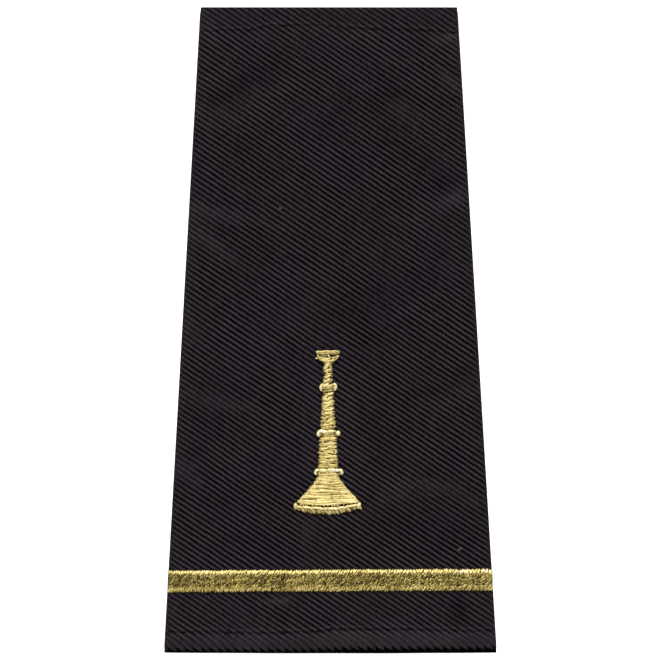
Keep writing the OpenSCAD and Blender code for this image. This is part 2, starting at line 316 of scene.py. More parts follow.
def place(k, ms, v, thick=0.0, ribbed=True):
    """Where the cloth lies. v is the way along the cloth from the sleeve's middle, and goes on round the bend
    of a hem and back inside. thick is the depth into the ply, from its right side."""
    a, end = np.abs(v), np.where(v < 0, -1.0, 1.0)
    theta = np.clip((a - EDGE) / LIP_R, 0, math.pi)
    g = k * flat_half(v) + ms
    round_fold = np.abs(ms) + 0 * v
    fold = smooth(0.15, 0.75, round_fold) * (1 - smooth(FOLD_TURN - 0.9, FOLD_TURN - 0.2, round_fold))
    square = 1 - 0.55 * fold
    deep = LIP_R * (1 - np.sign(np.cos(theta)) * np.abs(np.cos(theta)) ** square)
    bent = EDGE + LIP_R * np.sin(theta).clip(0) ** square - np.clip(a - EDGE - TURN, 0, None)
    y = end * np.where(a <= EDGE, a, bent)
    calm = (1 - smooth(EDGE - 3, EDGE, a)) * (1 - smooth(1.9, 2.0, np.abs(k)))
    p, n = section(k, ms, y + 0.09 * waves(g, v, 19, 11) * calm)
    tilt = n * np.cos(theta)[..., None]
    tilt[..., 1] += end * np.sin(theta)
    tilt /= np.linalg.norm(tilt, axis=-1, keepdims=True)
    # off is the way out of the smooth face: the stitched line sinks between one needle hole and the next,
    # the hem puffs up beside it, and its edge is pressed down before the bend
    off = -thick + 0 * v
    gap = a - HALF_L + np.where(v > 0, stitch_away(k, 1), stitch_away(k, -1))
    beat = 0.75 - 0.25 * np.cos(TAU * g / STITCH_STEP)
    off = off - STITCH_DIP * beat * np.exp(-(gap / STITCH_HALF) ** 2) * (1 - 0.9 * fold)
    hem_zone = smooth(0.3, 1.2, gap) * (1 - smooth(EDGE - 0.6, EDGE + 0.2, a))
    off = off + hem_zone * (0.06 + 0.05 * waves(g, v, 4.5, 21)) * (1 - smooth(0.1, 1.0, round_fold))
    off = off - 0.08 * smooth(EDGE - 0.9, EDGE, a) * (1 - smooth(EDGE, EDGE + 0.45, a))
    if ribbed:
        c = (v + STEEPER * np.maximum(0, -STEEP_V - v) + RIB_TAN * g) / RIB_STEP
        profile = (0.5 - 0.5 * np.cos(TAU * c)) ** 0.9
        strength = 1 + 0.22 * waves(g, v, 11, 31) + 0.10 * waves(g, v, 3.5, 32)
        strength = strength * (1 - 0.5 * wrinkle_sum(g, v)[1] * (np.abs(k) <= 1))
        strength = strength * (1 - 0.5 * smooth(STEEP_V - 1, STEEP_V + 1, -v))
        strength = strength * (1 - 0.35 * hem_zone) * (1 - 0.95 * smooth(0.1, 0.8, theta)) * (1 - fold)
        strength = strength * (1 - 0.8 * smooth(EDGE + TURN, EDGE + TURN + 1, a))
        off = off - RIB_DEEP * strength * (1 - profile)
    p = p - n * deep[..., None] + tilt * off[..., None]
    facts = np.stack([g, v + 0 * g, gap], -1)
    return p, facts


# Mesh helpers

def make_object(name, verts, faces, material, smooth_faces=True):
    mesh = bpy.data.meshes.new(name)
    mesh.from_pydata((np.asarray(verts) * MM).tolist(), [], faces)
    mesh.validate()
    mesh.update()
    if smooth_faces:
        mesh.shade_smooth()
    mesh.materials.append(material)
    obj = bpy.data.objects.new(name, mesh)
    bpy.context.scene.collection.objects.link(obj)
    return obj


def grid_faces(grid):
    """Quads between the vertex numbers of a grid."""
    corners = [grid[:-1, :-1], grid[:-1, 1:], grid[1:, 1:], grid[1:, :-1]]
    return np.stack(corners, -1).reshape(-1, 4).tolist()


def add_points(obj, name, values):
    """Stores a vector on each vertex for the material to read."""
    data = obj.data.attributes.new(name, "FLOAT_VECTOR", "POINT")
    data.data.foreach_set("vector", np.asarray(values, dtype=np.float32).ravel())


def zipper(a, b, at, faces, flip=False):
    """Triangles between two chains of vertex numbers that run the same way, b above or to the left of a."""
    i = j = 0
    while i < len(a) - 1 or j < len(b) - 1:
        if j == len(b) - 1:
            step_a = True
        elif i == len(a) - 1:
            step_a = False
        else:
            da = np.hypot(*(at[a[i + 1]] - at[b[j]]))
            db = np.hypot(*(at[a[i]] - at[b[j + 1]]))
            step_a = da <= db
        if step_a:
            tri = (a[i], a[i + 1], b[j])
            i += 1
        else:
            tri = (a[i], b[j + 1], b[j])
            j += 1
        if len(set(tri)) == 3:
            faces.append(tri[::-1] if flip else tri)


# The cloth

def cloth_columns():
    """k and m of the mesh's columns, from the seam round the left side, the front and the right side,
    and how many finer columns each space between them has at the hems."""
    # Distances from the back's seam in mm: even steps from the side fold, then shorter ones beside the seam
    across, seam, steps = 24.6, 1.9, 14
    away = [across - i * (across - seam) / steps for i in range(1, steps + 1)] + [1.1, 0.55, 0.22, 0]
    back = [(2 - d / across, FOLD_TURN) for d in away]
    fold = [(1.0, FOLD_TURN * i / 6) for i in range(1, 7)]
    front = [((u + math.sin(math.pi / 2 * u)) / 2, 0.0) for u in (i / 22 for i in range(1, 22))]
    right = front + [(1.0, 0.0)] + fold + back
    left = [(-k, -m) for k, m in right[::-1]]
    cols = left + [(0.0, 0.0)] + right
    fine = []
    for (k0, _), (k1, _) in zip(cols, cols[1:]):
        mid = abs(k0 + k1) / 2
        fine.append(5 if mid < 1 else 2 if mid < 1 + 1e-9 else 1 if mid > 2 - 1.2 / across else 6)
    return *np.array(cols).T, fine


def make_cloth(material):
    k, m, fine = cloth_columns()
    verts, facts, faces = [], [], []
    count = 0

    def add(kk, mm, vv, **how):
        nonlocal count
        p, f = (x.reshape(-1, 3) for x in place(kk, mm, vv, **how))
        verts.append(p)
        facts.append(f)
        count += len(p)
        return count - len(p)

    # Most of the outer face: rows that follow the ribs
    rows_per_rib = 5
    main_end = EDGE - 0.45
    dc = RIB_STEP / rows_per_rib
    past_seam = 60  # more than half the way round, in mm
    top = int((main_end + RIB_TAN * past_seam) / dc) + 1
    c = np.arange(-top, top + 1)[:, None] * dc
    v = (c - RIB_TAN * (k * F0 + m)) / (1 - RIB_TAN * k * TAPER)
    good = np.abs(v) <= main_end
    index = np.full(v.shape, -1)
    kk, mm = np.broadcast_to(k, v.shape), np.broadcast_to(m, v.shape)
    index[good] = np.arange(good.sum()) + add(kk[good], mm[good], v[good])
    whole = good[:-1, :-1] & good[1:, :-1] & good[:-1, 1:] & good[1:, 1:]
    i, j = np.nonzero(whole)
    faces += np.stack([index[i, j], index[i, j + 1], index[i + 1, j + 1], index[i + 1, j]], 1).tolist()
    low = good.argmax(0)
    high = good.shape[0] - 1 - good[::-1].argmax(0)

    # The hems: rows across, with finer columns, round the bend and back inside
    kf, mf, main_at = [k[0]], [m[0]], [0]
    for n, k0, k1, m0, m1 in zip(fine, k, k[1:], m, m[1:]):
        for s in range(1, n + 1):
            kf.append(k0 + (k1 - k0) * s / n)
            mf.append(m0 + (m1 - m0) * s / n)
        main_at.append(len(kf) - 1)
    kf, mf = np.array(kf), np.array(mf)
    nf = len(kf)
    rows = [main_end + 0.03, main_end + 0.17, main_end + 0.31, EDGE]
    rows += [EDGE + TURN * s / 8 for s in range(1, 9)]
    rows += [EDGE + TURN + d for d in (0.4, 1.0, 2.0, 3.4, 4.7, HEM)]
    last_row, side_cols = {}, {}
    for end in (-1, 1):
        vv = np.array(rows)[:, None] * end + 0 * kf
        first = add(kf + 0 * vv, mf + 0 * vv, vv)
        grid = first + np.arange(len(rows) * nf).reshape(len(rows), nf)
        if end < 0:
            grid = grid[::-1]
        faces += grid_faces(grid)
        side_cols[end] = grid
        last_row[end] = grid[-1] if end > 0 else grid[0]
    at = np.concatenate(facts)[:, :2]
    for j in range(len(k) - 1):
        fine_cols = slice(main_at[j], main_at[j + 1] + 1)
        near = [index[high[j], j]] + [index[r, j + 1] for r in range(high[j], high[j + 1] + 1)]
        zipper(near, side_cols[1][0, fine_cols].tolist(), at, faces)
        near = [index[r, j] for r in range(low[j], low[j + 1] + 1)] + [index[low[j + 1], j + 1]]
        zipper(side_cols[-1][-1, fine_cols].tolist(), near, at, faces)

    # The inner face, without ribs
    bend = np.array([EDGE + TURN * s / 5 for s in range(6)] + [EDGE + TURN + d for d in (1.5, 3.5, HEM)])
    vv = np.concatenate([-bend[::-1], np.linspace(0.2 - EDGE, EDGE - 0.2, 90), bend])[:, None] + 0 * k
    first = add(k + 0 * vv, m + 0 * vv, vv, thick=PLY, ribbed=False)
    inner = first + np.arange(vv.size).reshape(vv.shape)
    faces += grid_faces(inner.T)
    at = np.concatenate(facts)[:, :2]

    # Raw edges: inside at both hems, and along the seam
    zipper(last_row[1].tolist(), inner[-1].tolist(), at, faces)
    zipper(inner[0].tolist(), last_row[-1].tolist(), at, faces)
    for j, flip in ((0, True), (len(k) - 1, False)):
        fj = 0 if j == 0 else nf - 1
        chain = side_cols[-1][:, fj].tolist() + [index[r, j] for r in range(low[j], high[j] + 1)]
        chain += side_cols[1][:, fj].tolist()
        zipper(chain, inner[:, j].tolist(), at, faces, flip=not flip)
    obj = make_object("sleeve_cloth", np.concatenate(verts), faces, material)
    facts = np.concatenate(facts)
    add_points(obj, "developed", facts)
    g, v = facts[:, 0], facts[:, 1]
    past = np.abs(g) - flat_half(v)
    _, press, crease_light_painted = np.array(wrinkle_sum(g, v)) * (past < 0.6)
    press = np.maximum(press, smooth(-1.2, 0.8, past) * (1 - smooth(2.5, 4.0, past)))
    # The second part stored here is painted light along the wrinkles, the third the painted light and painted
    # shade of the patches
    add_points(obj, "pressed", np.stack([press, crease_light_painted, soft_strokes(g, v, LIGHT_AND_SHADE_PATCHES) * (past < 3)], -1))
    return obj


# Threads

def tubes(paths, ups, radius, sides):
    """Vertices, faces and facts of many threads at once, a little flatter than round. paths is
    threads x rings x 3."""
    n, rings, _ = paths.shape
    along = np.gradient(paths, axis=1)
    along /= np.linalg.norm(along, axis=-1, keepdims=True) + 1e-12
    across = np.cross(along, ups)
    across /= np.linalg.norm(across, axis=-1, keepdims=True) + 1e-12
    up = np.cross(across, along)
    angle = np.arange(sides) * TAU / sides
    r = np.broadcast_to(radius, (n, rings))[..., None, None]
    ring = paths[:, :, None] + r * (np.cos(angle)[:, None] * across[:, :, None]
                                    + 0.8 * np.sin(angle)[:, None] * up[:, :, None])
    run = np.concatenate([np.zeros((n, 1)), np.cumsum(np.linalg.norm(np.diff(paths, axis=1), axis=-1), 1)], 1)
    parts = run[:, :, None], np.cos(angle)[None, None, :], np.zeros((n, rings, sides))
    facts = np.stack(np.broadcast_arrays(*parts), -1)
    base = (np.arange(n)[:, None] * rings + np.arange(rings - 1)) * sides
    s = np.arange(sides)
    a = base[..., None] + s
    b = base[..., None] + (s + 1) % sides
    quads = np.stack([a, a + sides, b + sides, b], -1).reshape(-1, 4).tolist()
    caps = []
    for start in range(0, n * rings * sides, rings * sides):
        stop = start + (rings - 1) * sides
        caps += [list(range(start, start + sides)), list(range(stop, stop + sides))[::-1]]
    return ring.reshape(-1, 3), quads + caps, facts.reshape(-1, 3)


class Threads:
    """Gathers threads of one piece into a single mesh."""

    def __init__(self):
        self.verts, self.faces, self.facts, self.count = [], [], [], 0

    def add(self, g, y, h, radius, tone, sides=6):
        """Threads through points g round the sleeve, y along it and h above the cloth (threads x rings)."""
        p, n = on_cloth(g, y, h)
        v, f, a = tubes(p, n, radius, sides)
        rings = p.shape[1] * sides
        a[:, 2] = np.repeat(np.broadcast_to(tone, (p.shape[0],)), rings)
        self.verts.append(v)
        self.facts.append(a)
        self.faces += [[i + self.count for i in q] for q in f]
        self.count += len(v)

    def sheet(self, g, y, h, tone):
        """A plain underlay through a grid of points, facing outwards."""
        p, _ = on_cloth(g, y, h)
        rows, cols = g.shape
        grid = self.count + np.arange(rows * cols).reshape(rows, cols)
        self.faces += grid_faces(grid)
        self.verts.append(p.reshape(-1, 3))
        self.facts.append(np.stack([g.ravel(), y.ravel(), np.full(g.size, tone)], -1))
        self.count += rows * cols

    def piece(self, name, material):
        obj = make_object(name, np.concatenate(self.verts), self.faces, material)
        add_points(obj, "thread", np.concatenate(self.facts))
        return obj


def hump(t, edge=0.12):
    """Height of a satin stitch along itself, 0 at its ends and 1 over most of its length."""
    s = np.clip(np.minimum(t, 1 - t) / edge, 0, 1)
    return np.sin(s * math.pi / 2)


def shoulder(away, dive, slope_end, full):
    """Height above the cloth of a stitch whose end is away mm off: it comes up steeply out of the cloth,
    then slopes to its full height."""
    steep = np.clip(away / 0.10, 0, 1)
    s = np.clip((away - 0.06) / slope_end, 0, 1)
    return -dive + steep * (dive + 0.45 * full) + 0.55 * full * (1 - (1 - s) ** 2)


def spread(rings):
    """Places along a stitch, 0 to 1, close together near its ends."""
    t = np.linspace(0, 1, rings)
    return (0.5 - 0.5 * np.cos(math.pi * t))[None]


def stripe_rise(g):
    """How far the stripe bends towards the narrow end."""
    return 0.10 * (g / 26) - 0.10 * (g / 26) ** 2 + 0.05 * waves(g, 0 * g, 9, 42)


def tight(g, at, wide):
    """1 where the stripe's stitches are pulled tight, 0 away from there."""
    return np.exp(-((g - at) / wide) ** 2)


# The loops along the stripe's edges: which edge, how far it is shifted, step and stray of the loops, their
# length and radius, and the range of their tone
# The upper edge's loops take higher tones than the lower edge's: a painted highlight where they face the light
LOOPS = [
    (1, 0.01, 0.26, 0.04, 0.68, 0.155, 0.94, 1.18),
    (-1, 0.125, 0.33, 0.09, 0.66, 0.150, 0.66, 0.99),
]


def make_stripe(material):
    r = np.random.default_rng(5)
    out = Threads()
    past_fold = 0.98
    half = flat_half(STRIPE_Y) + FOLD_R * past_fold

    def lean_at(g):
        return 0.80 + 0.12 * g / half + 0.25 * waves(g, 0 * g, 11, 41)

    def settle(g, h):
        return np.clip(g, -half, half), h * (1 - 0.72 * smooth(half - 1.6, half + 0.3, np.abs(g)))

    # Stitches from edge to edge: a dense layer in low tones, painted shade for threads that lie deeper
    t = spread(10)
    step, radius, full = 0.27, 0.155, 0.20
    g0 = np.arange(-half - 1.0, half + 1.0, step)
    n = len(g0)
    g0 = (g0 + r.normal(0, 0.07, n))[:, None]
    lean = lean_at(g0) + r.normal(0, 0.2, (n, 1))
    low = STRIPE_Y - STRIPE_W / 2 + 0.08 + r.normal(0, 0.05, (n, 1))
    high = STRIPE_Y + STRIPE_W / 2 - 0.10 + r.normal(0, 0.05, (n, 1))
    y = low + (high - low) * t + stripe_rise(g0)
    g = g0 + lean * (t - 0.5) * STRIPE_W
    rise = shoulder((high - y + stripe_rise(g0)).clip(0), 0.14, 0.75, full + r.normal(0, 0.03, (n, 1)))
    fall = shoulder((y - stripe_rise(g0) - low).clip(0), 0.14, 0.60, full + r.normal(0, 0.03, (n, 1)))
    g, h = settle(g, np.minimum(rise, fall))
    out.add(g, y, h, radius * r.uniform(0.85, 1.15, (n, 1)) + 0 * h, r.uniform(0.05, 0.28, n), sides=5)

    # Over it the short lengths of many crossing threads that come up between others
    rows, cols = 9, 300
    n = rows * cols
    t = np.linspace(0, 1, 5)[None]
    i, j = np.meshgrid(np.arange(rows), np.arange(cols))
    g0 = -half + 2 * half * ((j.reshape(-1, 1) + r.uniform(0.0, 1.0, (n, 1))) / cols)
    lowest, breadth = -1.50, 2.85
    mid = lowest + breadth * (i.reshape(-1, 1) + r.uniform(0.0, 1.0, (n, 1))) / rows
    slant = lean_at(g0) + r.normal(0, 0.26, (n, 1))
    run = r.uniform(0.40, 0.85, (n, 1)) * (t - 0.5) / np.hypot(1, slant)
    arch = 1 - (2 * t - 1) ** 2
    y = STRIPE_Y + stripe_rise(g0) + mid + run
    g = g0 + slant * run + r.normal(0, 0.06, (n, 1)) * arch
    edge = np.clip((STRIPE_W / 2 - 0.05 - np.abs(mid + run)) / 0.55, 0, 1)
    h = (0.15 + r.uniform(0.10, 0.30, (n, 1)) * arch) * (0.4 + 0.6 * edge)
    g, h = settle(g, h)
    # Some rows of them are lighter, and so is one slanting band in each 0.72 mm
    lighter = [-1.5, -0.95, -0.35, 0.12, 0.6, 1.1], [0.07, 0.18, -0.12, 0.11, -0.07, 0.13]
    tone = r.uniform(0.06, 0.72, n) + np.interp(mid[:, 0], *lighter)
    beat = (g0 - lean_at(g0) * mid) / 0.72 + 0.8 * waves(g0, mid, 2.5, 43)
    tone = tone + 0.24 * np.sin(TAU * beat[:, 0]) - 0.30 * tight(g0[:, 0], -7.9, 0.6)
    out.add(g, y, h, r.uniform(0.100, 0.135, (n, 1)) * (0.7 + 0.3 * arch), tone, sides=5)

    # The turns at both edges: short plump loops, sloping down to the cloth
    t = np.linspace(0, 1, 9)[None]
    for end, shift, step, stray, length, wide, dull, bright in LOOPS:
        g0 = np.arange(-half, half, step)
        n = len(g0)
        g0 = (g0 + r.normal(0, stray, n))[:, None]
        size = length * r.uniform(0.75, 1.2, (n, 1))
        outer = STRIPE_Y + end * STRIPE_W / 2 + shift + stripe_rise(g0) + r.normal(0, 0.05, (n, 1))
        away = size * (1 - t)
        y = outer - end * away
        g = g0 - end * lean_at(g0) * away * 0.6 * r.uniform(0.4, 1.4, (n, 1))
        steep = np.clip(away / 0.10, 0, 1)
        h = -0.12 + steep * 0.26 + 0.54 * (away - 0.08).clip(0) - 0.10 * smooth(0.7, 1.0, 1 - t)
        g, h = settle(g, h + r.normal(0, 0.02, (n, 1)))
        width = wide * r.uniform(0.85, 1.15, (n, 1)) * (0.35 + 0.65 * smooth(0.0, 0.35, t))
        width = width * (0.75 + 0.25 * hump(t, 0.12))
        tone = r.uniform(dull, bright, n)
        tone = tone - 0.35 * tight(g0[:, 0], -7.3, 0.8) - 0.6 * tight(g0[:, 0], 9.8, 0.14)
        out.add(g, y, h, width, tone, sides=7)

    # The ground below all of them, in the darkest tone: painted shade in the gaps between threads
    gg, tt = np.meshgrid(np.linspace(-half + 0.1, half - 0.1, 120), np.linspace(0, 1, 9))
    yy = STRIPE_Y + (tt - 0.5) * (STRIPE_W - 0.35) + stripe_rise(gg)
    hh = (-0.1 + 0.24 * hump(tt, 0.2)) * (1 - 0.72 * smooth(half - 1.6, half + 0.3, np.abs(gg)))
    out.sheet(gg, yy, hh, -0.15)
    obj = out.piece("stripe_threads", material)
    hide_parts("stripe")
    return obj


# The bugle

def profile_of(rows, low, high):
    """Half width at a height, from rows of (share of the piece's height, share of the rim's width)."""
    hs = [low + a * (high - low) for a, _ in rows]
    ws = [w * BUGLE_W / 2 for _, w in rows]
    return lambda y: np.interp(y, hs, ws)


def satin(out, r, low, high, half, step, lift, lean, vary, tone, wide, wave=0.05, crown=0.10, rings=15,
          ends=0.06):
    """Stitches from side to side of a piece between two heights above the bugle's bottom, one every step mm.
    lean raises their right ends, and vary is how much that changes from stitch to stitch."""
    n = max(2, int(round((high - low) / step)))
    y0 = (low + (np.arange(n) + 0.5) * (high - low) / n + r.normal(0, 0.08 * step, n))[:, None]
    tilt = lean + r.normal(0, vary, (n, 1))
    t = spread(rings)
    left, right = y0 - tilt / 2, y0 + tilt / 2
    w0 = half(np.clip(left, low, high)) - 0.06 + r.normal(0, ends, (n, 1))
    w1 = half(np.clip(right, low, high)) - 0.06 + r.normal(0, ends, (n, 1))
    x = -w0 + (w0 + w1) * t
    y = left + (right - left) * t
    y += wave * np.sin(TAU * (t * r.uniform(0.8, 2.0, (n, 1)) + r.uniform(0, 1, (n, 1)))) * hump(t, 0.25)
    away = np.minimum(t, 1 - t) * (w0 + w1)
    full = lift + r.normal(0, 0.03, (n, 1))
    h = shoulder(away, 0.13, 0.40, full) + crown * (1 - (2 * t - 1) ** 2)
    width = wide * r.uniform(0.88, 1.12, (n, 1)) * (0.8 + 0.2 * hump(t, 0.1))
    out.add(BUGLE_X + x, BUGLE_Y + y, h, width, r.uniform(tone[0], tone[1], n), sides=8)


def under(out, low, high, half, tone):
    """The ground below a piece's stitches, in a dark tone: painted shade in the gaps between them."""
    yy = np.linspace(low, high, 10)
    tt = np.linspace(-1, 1, 11)
    xx = tt[None] * (half(yy) - 0.16)[:, None]
    hh = -0.05 + 0.26 * hump((tt[None] + 1) / 2, 0.2) * hump(np.linspace(0, 1, 10), 0.1)[:, None]
    out.sheet(BUGLE_X + xx, BUGLE_Y + yy[:, None] + 0 * xx, hh, tone)


def laid(out, points, lift, radius, tone, slope=0.30):
    """One thread through a few points, x and y from the middle of the bugle's bottom."""
    p = np.array(points, float)
    p = np.vstack([2 * p[0] - p[1], p, 2 * p[-1] - p[-2]])
    line = []
    for a, b, c, d in zip(p, p[1:], p[2:], p[3:]):
        t = np.linspace(0, 1, 12, endpoint=False)[:, None]
        line.append(0.5 * (2 * b + (c - a) * t + (2 * a - 5 * b + 4 * c - d) * t ** 2
                           + (3 * b - a - 3 * c + d) * t ** 3))
    line = np.vstack(line + [p[-2][None]])
    run = np.concatenate([[0], np.cumsum(np.hypot(*np.diff(line, axis=0).T))])
    t = spread(max(9, int(run[-1] / 0.14)))
    s = run[-1] * t
    x, y = np.interp(s, run, line[:, 0]), np.interp(s, run, line[:, 1])
    h = shoulder(np.minimum(s, run[-1] - s), 0.12, slope, lift)
    out.add(BUGLE_X + x, BUGLE_Y + y, h, radius * (0.75 + 0.25 * hump(t, 0.1)), tone, sides=8)


def knob(out, x, y, wide, tall, lift, tone=1.15, turns=4, slant=0.0):
    """A ball of thread: loops from its lower to its upper pole."""
    arc = math.pi * (np.linspace(0, 1, 11)[None] - 0.5)
    turn = np.linspace(-1.1, 1.1, turns)[:, None]
    up = (tall - 0.14) * np.sin(arc)
    side = (wide - 0.14) * np.sin(turn) * np.cos(arc) + slant * np.sin(arc)
    hh = -0.08 + (lift - 0.06) * np.cos(turn * 0.8) * np.cos(arc) ** 0.8
    out.add(BUGLE_X + x + side, BUGLE_Y + y + up + 0 * turn, hh, 0.15 + 0 * side,
            tone + 0.08 * np.cos(np.arange(turns) * 2.0), sides=8)


# The pieces: lower and upper end as shares of the bugle's height, then the outline for profile_of
PLAN = {
    "mouth_rim": (0.971, 1.0, [(0, 0.32), (1, 0.33)]),
    "mouth_cup": (0.917, 0.968, [(0, 0.12), (0.2, 0.18), (0.5, 0.28), (1, 0.31)]),
    "neck": (0.795, 0.917, [(0, 0.136), (0.25, 0.124), (0.6, 0.11), (1, 0.114)]),
    "upper_ring": (0.746, 0.795, [(0, 0.22), (1, 0.24)]),
    "upper_tube": (0.514, 0.746, [(0, 0.208), (0.3, 0.202), (0.5, 0.188), (0.75, 0.17), (1, 0.15)]),
    "middle_ring": (0.471, 0.514, [(0, 0.28), (1, 0.31)]),
    "lower_tube": (0.281, 0.471, [(0, 0.292), (0.5, 0.268), (1, 0.248)]),
    "lower_ring": (0.232, 0.281, [(0, 0.34), (1, 0.37)]),
    "bell": (0.067, 0.232, [(0, 0.95), (0.095, 0.88), (0.282, 0.75), (0.466, 0.61), (0.652, 0.485),
                            (0.838, 0.372), (1, 0.315)]),
}
# Layers of satin stitch: their ends against the piece's own, step, lift, and more of satin's values
SATIN = {
    "neck": [
        (-0.05, 0.1, 0.4, 0.28, dict(lean=0.25, vary=0.2, tone=(0.66, 0.98), wide=0.21, crown=0.04)),
        (0.1, 0.1, 0.8, 0.4, dict(lean=0.6, vary=0.32, tone=(1.0, 1.36), wide=0.26, crown=0.06, wave=0.08)),
    ],
    "upper_tube": [
        (-0.12, -0.05, 0.4, 0.32, dict(lean=0.15, vary=0.3, tone=(0.55, 0.95), wide=0.21, crown=0.05)),
        (0, -0.2, 0.64, 0.4, dict(lean=0.4, vary=0.42, tone=(0.76, 1.08), wide=0.25, crown=0.08, wave=0.12)),
    ],
    "lower_tube": [
        (0, 0, 0.4, 0.35, dict(lean=0.05, vary=0.14, tone=(0.58, 0.95), wide=0.215, wave=0.12)),
        (0.1, -0.1, 0.75, 0.42, dict(lean=0.22, vary=0.2, tone=(0.8, 1.08), wide=0.205, wave=0.12)),
    ],
    "bell": [
        (0.02, 0, 0.35, 0.33, dict(lean=0.03, vary=0.08, tone=(0.78, 1.08), wide=0.25, crown=0.14, wave=0.11,
                                   rings=23, ends=0.04)),
    ],
}
# Balls of thread: x, y, half width, half height and lift, and more of knob's values
# Their tones of 1.05 and more reach the ramp's cream top: a painted highlight
KNOBS = {
    "mouth_rim": [
        (-1.74, 27.12, 0.24, 0.27, 0.62, dict(turns=3)),
        (1.78, 27.1, 0.22, 0.27, 0.6, dict(turns=3)),
    ],
    "upper_tube": [(-0.98, 15.05, 0.22, 0.26, 0.42, dict(turns=3))],
    "middle_ring": [(1.68, 13.55, 0.36, 0.48, 0.74, dict(tone=1.3))],
    "bell_rim": [
        (-5.44, 1.36, 0.34, 0.62, 0.62, dict(tone=1.05)),
        (5.09, 1.48, 0.34, 0.58, 0.64, dict(tone=1.1, slant=0.12)),
    ],
}
